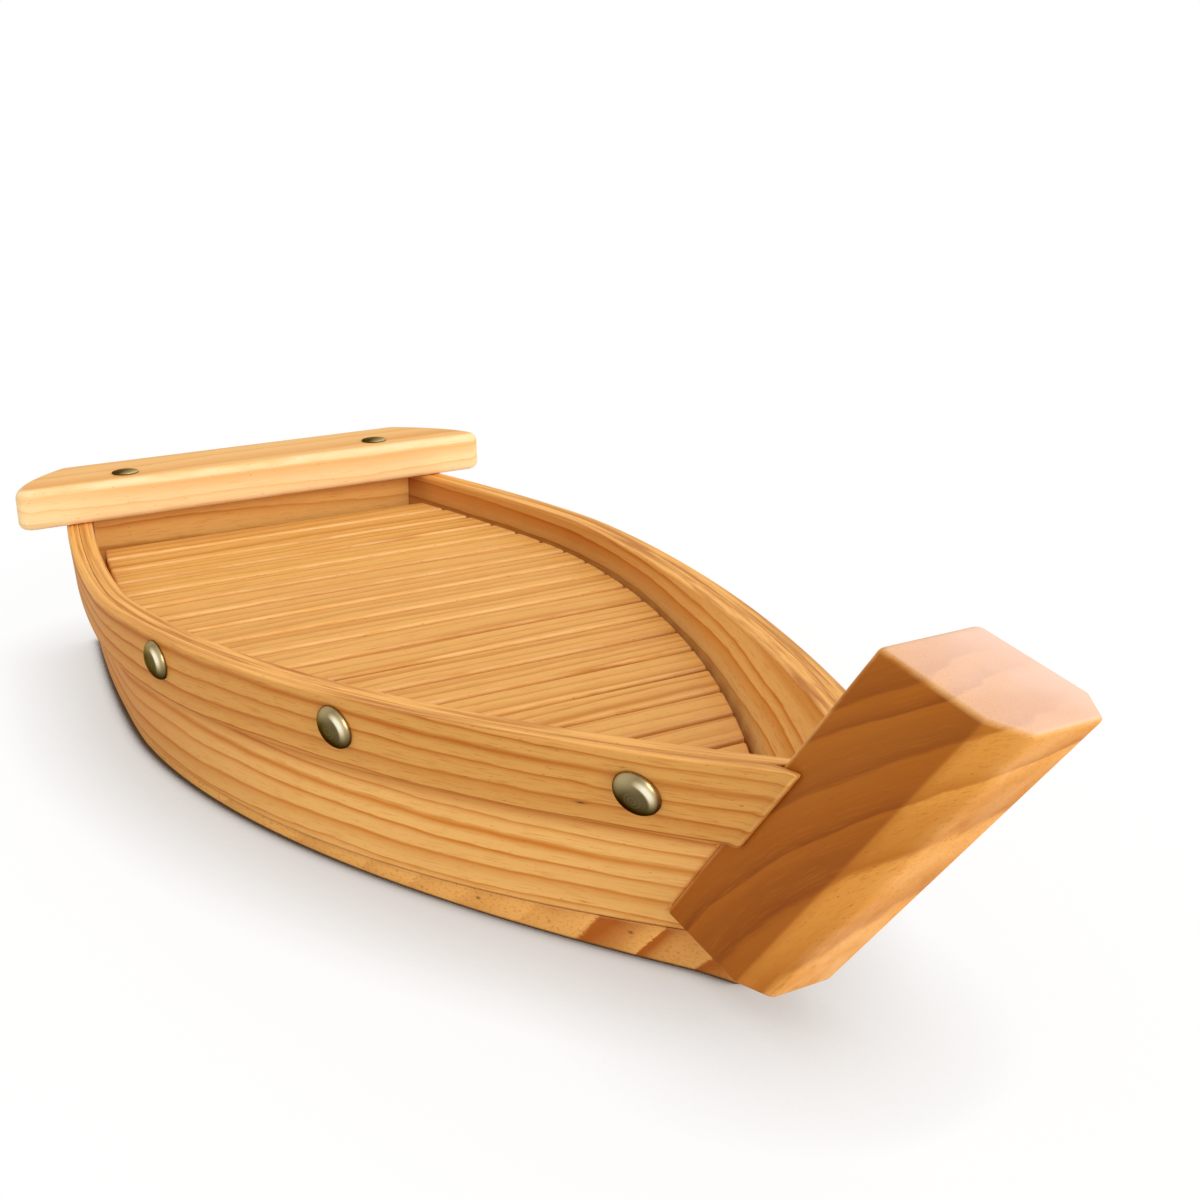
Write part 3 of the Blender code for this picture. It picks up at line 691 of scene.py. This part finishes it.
# Painted shade: the band darkens a little towards the stern, away from the lamp at the bow.
shade = BAND_STERN_SHADE * (1.0 - step(s, STERN_SHADE_FROM, BAND_STERN_SHADE_TO))
top = step(up, tall - BAND_RIM_LOW, tall - BAND_RIM_HIGH)
dark = np.maximum(mix(edge_shade, 1.0, shade), BAND_RIM_DARK * top)
finish_and_shading = (np.maximum(RIM_WEAR * top, np.maximum(0.8 * turn, 0.6 * rub) * upper), dark, end)
for side, sign in SIDES:
    rows = np.stack([x, sign * y, z], -1)
    grain = np.stack(np.broadcast_arrays(along, up, depth), -1) + BAND_GRAIN[side]
    band = skinned("band_" + side, rows, grain, finish_and_shading, pine_band, len(BAND_ACROSS), sign < 0)
    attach(band, "hull")
    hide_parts("sheer_band_" + side)


# Band tacks
# Three domed brass tacks through each band, turned on a lathe and aged dark. The tool left fine
# rings round a centre that is not quite the middle of the head.
TACK_RADIUS = 0.0049
TACK_RIM = 0.0002
TACK_DOME = 0.0024
TACK_UNDERCUT, PINPOINT = 0.00015, 0.00002
UNDER_RINGS, DOME_RINGS, ROUND_POINTS = 6, 56, 64
TACK_FIRST_X = 0.1086
TACK_PITCH, TACK_COUNT = 0.0721, 3
TACK_DROP, TACK_BOW_DROP = 0.37, 0.50
TURNING_CENTRE = (0.0003, 0.0001)
TURNING_PITCH, TURNING_HEIGHT = 0.00080, 0.000010
TURNING_FADE, TURNING_LINES = 300.0, 6000.0
TARNISH = (330.0, 330.0, 330.0)
BRASS_RELIEF = 0.00005
SLOPE_SHARE, SLOPE_REACH = 0.01, 0.002
# Where the painted highlight and the painted sheen lie round the head.
HIGHLIGHT_WAY = math.radians(28.0)
SHEEN_WAY = math.radians(112.0)


def antique_brass(name, dark, aged, sheen_colour, highlight_colour):
    """Aged brass: a dark and a lighter tarnish, mixed partly by painted shade, and painted
    highlights.

    The head carries both shares as attributes. Noise clouds them, and cosine rings of the lathe lie
    round the turning centre, fading outwards.
    """
    mat, tree, shader = new_material(name)
    place = add(tree, "ShaderNodeAttribute", {}, out=1, attribute_name="grain")
    highlight, tone, _ = shares_of(tree)
    turned = {0: place, 1: (*TURNING_CENTRE, 0.0)}
    away = add(tree, "ShaderNodeVectorMath", turned, operation="SUBTRACT")
    away = add(tree, "ShaderNodeVectorMath", {0: away, 1: (1.0, 1.0, 0.0)}, operation="MULTIPLY")
    away = add(tree, "ShaderNodeVectorMath", {0: away}, out=1, operation="LENGTH")
    rings = sums(tree, "MULTIPLY", away, 2.0 * math.pi / TURNING_PITCH)
    rings = sums(tree, "MULTIPLY_ADD", sums(tree, "COSINE", rings), 0.5, 0.5)
    inner = ramp(tree, sums(tree, "MULTIPLY", away, TURNING_FADE), ((0.25, 1.0), (0.75, 0.0)))
    rings = sums(tree, "MULTIPLY", rings, inner)
    lines = add(tree, "ShaderNodeTexNoise", {"W": away, "Scale": TURNING_LINES, "Detail": 3.0},
                noise_dimensions="1D")
    tarnish = cloud(tree, place, TARNISH, 3.0)
    # Painted shade: the tone share sets how far the dark tarnish gives way to the lighter one.
    tone = sums(tree, "MULTIPLY_ADD", tarnish, 0.35, sums(tree, "SUBTRACT", tone, 0.25))
    tone = sums(tree, "MULTIPLY_ADD", rings, 0.75, tone)
    tone = sums(tree, "MULTIPLY_ADD", lines, 0.15, tone)
    colour = blended(tree, tone, (*dark, 1.0), (*aged, 1.0))
    # Painted highlight and sheen: golden, then near-white metal where the head's highlight share is
    # high.
    highlight = sums(tree, "MULTIPLY_ADD", tarnish, sums(tree, "MULTIPLY", highlight, 0.3), highlight)
    colour = blended(tree, ramp(tree, highlight, ((0.0, 0.0), (0.5, 1.0))), colour, (*sheen_colour, 1.0))
    colour = blended(tree, ramp(tree, highlight, ((0.45, 0.0), (1.0, 1.0))), colour, (*highlight_colour, 1.0))
    tree.links.new(colour, shader.inputs["Base Color"])
    shader.inputs["Metallic"].default_value = 1.0
    shader.inputs["Specular Tint"].default_value = (0.45, 0.38, 0.25, 1.0)
    rough = sums(tree, "MULTIPLY_ADD", tarnish, 0.18, 0.22)
    tree.links.new(rough, shader.inputs["Roughness"])
    height = sums(tree, "MULTIPLY_ADD", rings, 1.2, sums(tree, "MULTIPLY", lines, 0.5))
    bump = add(tree, "ShaderNodeBump", {"Height": height, "Strength": 0.40, "Distance": BRASS_RELIEF})
    tree.links.new(bump, shader.inputs["Normal"])
    return mat


aged_brass = antique_brass(
    "antique_brass", dark=(0.034, 0.024, 0.011), aged=(0.135, 0.099, 0.043),
    sheen_colour=(0.55, 0.43, 0.22), highlight_colour=(0.95, 0.89, 0.69))


def tack_head(radius, rim, dome, ripple):
    """A head turned about its axis: flat under, an upright rim, and a quarter ellipse to the top.

    Rings of the given height run round the turning centre and fade towards the rim. The shares are
    a painted highlight, a bright crescent towards the bow and a faint painted sheen on the other side
    of the top, and a tone that is painted shade, lighter from the lower edge to the upper and darker
    on the upright rim.
    """
    under = np.linspace(PINPOINT, radius - TACK_UNDERCUT, UNDER_RINGS)
    q = np.linspace(0.0, 0.5 * math.pi, DOME_RINGS)[:-1]
    r = np.concatenate([under, [radius], radius * np.cos(q), [PINPOINT]])
    z = np.concatenate([0.0 * under, [0.4 * rim], rim + dome * np.sin(q), [rim + dome]])
    turn = np.linspace(0.0, 2.0 * math.pi, ROUND_POINTS, endpoint=False)
    x = r[:, None] * np.cos(turn)
    y = r[:, None] * np.sin(turn)
    z = np.repeat(z[:, None], len(turn), 1)
    away = np.hypot(x - TURNING_CENTRE[0], y - TURNING_CENTRE[1])
    fade = np.clip((z - rim) / dome, 0.0, 1.0) * np.clip(1.25 - away / (0.62 * radius), 0.0, 1.0)
    z = z + ripple * fade * np.cos(2.0 * math.pi * away / TURNING_PITCH)
    out = r[:, None] / radius
    crown = step(z, 0.5 * rim, rim + 0.15 * dome)
    # Painted highlight: a bright crescent on the bow side of the dome, and a faint painted sheen
    # above.
    crescent = step(out, 0.64, 0.75) * (1.0 - 0.65 * step(out, 0.81, 0.95))
    crescent = crescent * np.maximum(0.0, np.cos(turn - HIGHLIGHT_WAY)) ** 4
    sheen = 0.30 * step(out, 0.30, 0.9) * np.maximum(0.0, np.cos(turn - SHEEN_WAY)) ** 2
    # Painted shade: lighter from the lower edge to the upper, and darker on the upright rim.
    tone = (0.5 + 0.70 * (x + y) / radius) * mix(0.6, 1.0, crown)
    return np.stack([x, y, z], -1), (np.maximum(crescent, sheen), tone, 0.0)


def tack_place(s):
    """Outer face of the band on the line of the tacks."""
    below = mix(TACK_DROP, TACK_BOW_DROP, rise(s, SHEER_START)) * band_height(s)
    x, _, y, z = band_faces(s, below)
    return np.array([x, y, z]), below


head, finish_and_shading = tack_head(TACK_RADIUS, TACK_RIM, TACK_DOME, TURNING_HEIGHT)
for number in range(TACK_COUNT):
    wanted = TACK_FIRST_X - number * TACK_PITCH
    s = (wanted - STERN_X) / (BOW_TOP_X - STERN_X)
    for _ in range(40):
        s = s + (wanted - tack_place(s)[0][0]) / (BOW_TOP_X - STERN_X)
    centre, below = tack_place(s)
    ahead = tack_place(s + SLOPE_SHARE)[0] - tack_place(s - SLOPE_SHARE)[0]
    x, _, y, z = band_faces(np.array([s, s]), below + np.array([-SLOPE_REACH, SLOPE_REACH]))
    upward = np.array([x[0] - x[1], y[0] - y[1], z[0] - z[1]])
    ahead = ahead / np.linalg.norm(ahead)
    out = np.cross(upward, ahead)
    out = out / np.linalg.norm(out) * np.sign(out[1])
    upward = np.cross(out, ahead)
    upward = upward * np.sign(upward[2])
    for side, sign in SIDES:
        mirror = np.array([1.0, sign, 1.0])
        axes = np.stack([np.cross(upward * mirror, out * mirror), upward * mirror, out * mirror])
        rows = head @ axes + (centre + out * GLUE) * mirror
        name = "tack_%s_%d" % (side, number + 1)
        tack = skinned("brass_" + name, rows, head, finish_and_shading, aged_brass, 0)
        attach(tack, "hull")
        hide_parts(name)


# Stern crossbar
# A thick pine bar laid over the stern and nailed down to the gunwales. Its front is straight, its
# ends are sawn to a sweep back, and the top edges are rounded over to carry the boat by.
CROSSBAR_AHEAD = 0.0201
CROSSBAR_DEPTH = 0.0308
CROSSBAR_HALF, CROSSBAR_BACK_HALF = 0.0762, 0.0560
CROSSBAR_THICK = 0.0122
CROSSBAR_EDGE = 0.0025
CROSSBAR_CORNER, CROSSBAR_SWEEP = 0.0036, 0.015
SWEEP_START, SWEEP_POINTS = 0.22, 9
SHOULDER_BACK, SHOULDER_OUT = 0.53, 0.87
CROSSBAR_GRAIN = (0.9, 0.2, 0.3)
CLOSING_RINGS = 5

pine_crossbar = pine(
    "pine_crossbar", pale=(0.88, 0.65, 0.34), late=(0.76, 0.440, 0.160), fleck=(0.36, 0.12, 0.03),
    worn=(0.95, 0.74, 0.44), layers=(0.01, 0.42, 1.0), spacing=0.0047, wander=0.0066, ripple=0.0012,
    late_share=0.80, shade_and_tone=(1.0, 0.75, 0.48))

crossbar_front = STERN_X + CROSSBAR_AHEAD
t = np.concatenate([[0.0], np.linspace(SWEEP_START, 1.0, SWEEP_POINTS)])[:, None]
tip = np.array([crossbar_front, CROSSBAR_HALF])
heel = np.array([crossbar_front - CROSSBAR_DEPTH, CROSSBAR_BACK_HALF])
shoulder = np.array([mix(tip[0], heel[0], SHOULDER_BACK), mix(heel[1], tip[1], SHOULDER_OUT)])
swept = mix(mix(tip, shoulder, t), mix(shoulder, heel, t), t)
outline = np.concatenate([swept, swept[::-1] * (1.0, -1.0)])
turning = np.full(len(outline), CROSSBAR_SWEEP)
turning[[0, len(swept) - 1, len(swept), -1]] = CROSSBAR_CORNER
up, draw, rub, _ = run_with_round_ends(CROSSBAR_THICK, CROSSBAR_EDGE, 6, 7)
corners = inset(np.repeat(outline[None], len(up), 0), draw)
loop, turn = rounded_loop(corners, turning - 0.8 * draw, ACROSS, 7)
closing = np.linspace(0.80, 0.02, CLOSING_RINGS)[:, None]
middle = np.array([crossbar_front - 0.45 * CROSSBAR_DEPTH, 0.0])
flat = mix(middle, loop[0], closing[..., None])
loop = np.concatenate([flat[::-1], loop, flat])
wider = ((CLOSING_RINGS, CLOSING_RINGS), (0, 0))
up, rub = (np.pad(row, wider, "edge") for row in (up, rub))
x, y = loop[..., 0], loop[..., 1]
rows = np.stack(np.broadcast_arrays(x, y, SHEER_Z + GLUE + up), -1)
grain = rows[..., [1, 0, 2]] + CROSSBAR_GRAIN
# Painted shade: the top and the back of the bar take a deeper orange tint than the front, which faces
# the lamp.
top = step(up, CROSSBAR_THICK - 0.8 * CROSSBAR_EDGE, CROSSBAR_THICK)
behind = step(crossbar_front - x, 0.3 * CROSSBAR_DEPTH, 0.8 * CROSSBAR_DEPTH)
finish_and_shading = (0.8 * rub, np.maximum(top, behind), 0.0)
crossbar = skinned("crossbar", rows, grain, finish_and_shading, pine_crossbar, None)
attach(crossbar, "hull")
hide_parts("stern_crossbar")


# Crossbar tacks
# Two flat brass tacks that hold the crossbar down, driven in from above. They are duller than the
# domed ones, and lie nearly flush.
BAR_TACK_RADIUS = 0.0040
BAR_TACK_RIM = 0.0003
BAR_TACK_DOME = 0.0005
BAR_TACK_RINGS = 0.000006
BAR_TACK_Y = 0.0410
BAR_TACK_SET_BACK = 0.0095

head, (_, tone, _) = tack_head(BAR_TACK_RADIUS, BAR_TACK_RIM, BAR_TACK_DOME, BAR_TACK_RINGS)
# Painted shade and highlight: the flat heads take the tone of tack_head, and a little painted
# highlight where it is highest.
finish_and_shading = (0.6 * np.clip(tone - 0.5, 0.0, 1.0), 0.35 + 0.4 * tone, 0.0)
bar_top = SHEER_Z + 2.0 * GLUE + CROSSBAR_THICK
for side, sign in SIDES:
    rows = head + (crossbar_front - BAR_TACK_SET_BACK, sign * BAR_TACK_Y, bar_top)
    tack = skinned("brass_crossbar_tack_" + side, rows, head, finish_and_shading, aged_brass, 0)
    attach(tack, "hull")
    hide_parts("crossbar_tack_" + side)


# Deck bearers
# Three square pine sticks that lie on the base board and carry the slats. The outer two are cut
# short where the planks close in.
DECK_PLAY = 0.0018
DECK_TOP = 0.0340
DECK_NOSE = 0.0060
SLAT_THICK = 0.0050
BEARER_HALF = 0.0045
BEARER_INSET = 0.0040
BEARER_OUT_Y = 0.0360
BEARER_EDGE = 0.0006
BEARER_STATIONS = 80

pine_batten = pine(
    "pine_batten", pale=(0.80, 0.43, 0.13), late=(0.56, 0.22, 0.04), fleck=(0.30, 0.10, 0.022),
    worn=(0.88, 0.62, 0.34), layers=(0.01, 0.8, 0.7), spacing=0.0036, wander=0.005, ripple=0.001,
    late_share=0.78)

deck_aft = crossbar_front + DECK_PLAY
deck_fore = BOW_LOW_X - DECK_NOSE
slat_low = DECK_TOP - SLAT_THICK
bearer_low = BASE_TOP + GLUE
near, far = WIDEST_X, deck_fore - BEARER_INSET
for _ in range(40):
    half_way = 0.5 * (near + far)
    room = inside(half_way, bearer_low) - DECK_PLAY - BEARER_OUT_Y - BEARER_HALF
    near, far = (half_way, far) if room > 0.0 else (near, half_way)
bearers = (
    ("centre", 0.0, deck_fore - BEARER_INSET),
    ("starboard", -BEARER_OUT_Y, near),
    ("port", BEARER_OUT_Y, near),
)
for side, at, end in bearers:
    half_length = 0.5 * (end - deck_aft - BEARER_INSET)
    x, y, z, finish_and_shading = beam(
        (at - BEARER_HALF, bearer_low), (at + BEARER_HALF, slat_low - GLUE), BEARER_EDGE,
        lambda across, up: half_length + 0.0 * across, BEARER_STATIONS)
    x = x + end - half_length
    rows = np.stack([x, y, z], -1)
    grain = rows + (0.3 + 7.0 * at, 0.1, 0.02)
    bearer = skinned("bearer_" + side, rows, grain, finish_and_shading, pine_batten, len(ACROSS))
    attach(bearer, "deck_rack")
    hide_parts("deck_batten_" + side)


# Deck slats
# Pine slats pinned across the bearers with a narrow gap between them, planed smooth, their ends cut
# to the line of the hull with room to lift the whole rack out.
SLAT_COUNT = 18
SLAT_GAP = 0.0020
SLAT_EDGE = 0.0008
SLAT_STATIONS = 50

pine_slat = pine(
    "pine_slat", pale=(0.84, 0.44, 0.120), late=(0.57, 0.205, 0.032), fleck=(0.30, 0.10, 0.022),
    worn=(0.95, 0.66, 0.33), layers=(0.01, 0.85, 0.75), spacing=0.0042, wander=0.006, ripple=0.0012,
    late_share=0.80)

slat_width = (deck_fore - deck_aft - (SLAT_COUNT - 1) * SLAT_GAP) / SLAT_COUNT
for number in range(SLAT_COUNT):
    aft = deck_aft + number * (slat_width + SLAT_GAP)
    ends = np.array([aft, aft + slat_width])
    room = np.minimum(inside(ends, slat_low), inside(ends, DECK_TOP)) - DECK_PLAY
    y, x, z, finish_and_shading = beam(
        (aft, slat_low), (aft + slat_width, DECK_TOP), SLAT_EDGE,
        lambda across, up: mix(room[0], room[1], (across - aft) / slat_width), SLAT_STATIONS)
    finish_and_shading = (0.5 * finish_and_shading[0], *finish_and_shading[1:])
    rows = np.stack([x, y, z], -1)
    grain = rows[..., [1, 0, 2]] + (0.37 * number, 0.083 * number, 0.29 * (number % 5))
    label = "%02d" % (number + 1)
    slat = skinned("slat_" + label, rows, grain, finish_and_shading, pine_slat, len(ACROSS), flip=True)
    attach(slat, "deck_rack")
    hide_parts("deck_slat_" + label)


# Table and light
# A white table top with no edge in sight, a far, broad and soft lamp on the bow side, and a white
# room that shows behind the boat and in its brass.
TABLE_HALF = 3.0
GLOW_NEAR, GLOW_FAR, GLOW_LOW = 0.22, 0.80, 0.85
SHADE_REACH, SHADE_COLOUR = 0.035, (0.50, 0.43, 0.37, 1.0)
CONTACT_REACH, CONTACT_COLOUR = 0.005, (0.075, 0.045, 0.028, 1.0)

floor_rows = TABLE_HALF * np.array([(-1, -1, 0), (1, -1, 0), (1, 1, 0), (-1, 1, 0)])
mesh = bpy.data.meshes.new("table")
mesh.from_pydata(floor_rows.tolist(), [], [(0, 1, 2, 3)])
table = placed("table", mesh)
white, tree, top = new_material("table_white")
mesh.materials.append(white)


def seen_directly(tree):
    """1 for what the camera sees, straight or in a mirror or through glass."""
    path = tree.nodes.new("ShaderNodeLightPath")
    direct = sums(tree, "MAXIMUM", path.outputs["Is Camera Ray"], path.outputs["Is Glossy Ray"])
    return sums(tree, "MAXIMUM", direct, path.outputs["Is Transmission Ray"])


top.inputs["Roughness"].default_value = 0.32
away = add(tree, "ShaderNodeTexCoord", {}, out=3)
away = add(tree, "ShaderNodeVectorMath", {0: away}, out=1, operation="LENGTH")
glow_share = {0: away, 1: GLOW_NEAR, 2: GLOW_FAR, 3: GLOW_LOW, 4: 1.0}
glow_share = add(tree, "ShaderNodeMapRange", glow_share, interpolation_type="SMOOTHSTEP")
glow_share = sums(tree, "MULTIPLY", glow_share, seen_directly(tree))
# Painted shadow: near the boat the table's colour darkens with ambient occlusion to a warm grey, and
# the camera sees it mostly as glow in that colour.
open_sky = add(tree, "ShaderNodeAmbientOcclusion", {"Distance": SHADE_REACH}, out=1, samples=8)
warm = blended(tree, open_sky, SHADE_COLOUR, (1.0, 1.0, 1.0, 1.0))
# Painted contact shadow: a near-black line where the boat stands on the table.
touching = add(tree, "ShaderNodeAmbientOcclusion", {"Distance": CONTACT_REACH}, out=1, samples=8)
touching = ramp(tree, touching, ((0.50, 1.0), (0.60, 0.42), (0.78, 0.10), (0.95, 0.0)))
warm = blended(tree, touching, warm, CONTACT_COLOUR)
tree.links.new(warm, top.inputs["Base Color"])
glow = add(tree, "ShaderNodeEmission", {"Color": warm})
surface = add(tree, "ShaderNodeMixShader", {0: glow_share, 1: top.outputs[0], 2: glow})
tree.links.new(surface, tree.nodes["Material Output"].inputs["Surface"])

ROOM_LIGHT = 0.90
world = bpy.data.worlds.new("room")
bpy.context.scene.world = world
world.use_nodes = True
tree = world.node_tree
room_light = tree.nodes["Background"]
room_light.inputs["Color"].default_value = (1.0, 0.99, 0.98, 1.0)
room_light.inputs["Strength"].default_value = ROOM_LIGHT
seen = tree.nodes.new("ShaderNodeBackground")
seen.inputs["Color"].default_value = (1.0, 1.0, 1.0, 1.0)
shares = {0: seen_directly(tree), 1: room_light.outputs[0], 2: seen.outputs[0]}
shown = add(tree, "ShaderNodeMixShader", shares)
tree.links.new(shown, tree.nodes["World Output"].inputs["Surface"])

LAMP_FROM = (0.95, 0.12, 0.30)
LAMP_STRENGTH, LAMP_SPREAD = 1.6, math.radians(40.0)
lamp = bpy.data.lights.new("bow_lamp", "SUN")
lamp.energy = LAMP_STRENGTH
lamp.angle = LAMP_SPREAD
lamp_piece = placed("bow_lamp", lamp)
lamp_piece.rotation_euler = Vector(LAMP_FROM).to_track_quat("Z", "Y").to_euler()


# Camera
# It stands off the starboard bow, a little above the stem, and leans a hair to the left. Its place,
# turn and lens were fitted to the edges of the stem, the crossbar and the gunwale.
CAMERA_PLACE = (0.3440, -0.1593, 0.1613)
CAMERA_YAW = math.radians(29.0552)
CAMERA_PITCH = math.radians(16.78555)
CAMERA_ROLL = math.radians(-1.6037)
CAMERA_LENS = 50.0916

ahead = Vector((
    -math.cos(CAMERA_YAW) * math.cos(CAMERA_PITCH),
    math.sin(CAMERA_YAW) * math.cos(CAMERA_PITCH),
    -math.sin(CAMERA_PITCH)))
level = ahead.cross(Vector((0.0, 0.0, 1.0))).normalized()
upright = level.cross(ahead)
right = math.cos(CAMERA_ROLL) * level + math.sin(CAMERA_ROLL) * upright
above = math.cos(CAMERA_ROLL) * upright - math.sin(CAMERA_ROLL) * level
camera = bpy.data.cameras.new("camera")
camera.sensor_width = 36.0
camera.lens = CAMERA_LENS
camera.clip_start = 0.01
viewer = placed("camera", camera)
viewer.matrix_world = Matrix((right, above, -ahead)).transposed().to_4x4()
viewer.location = CAMERA_PLACE
bpy.context.scene.camera = viewer
bpy.context.scene.view_settings.view_transform = "Standard"
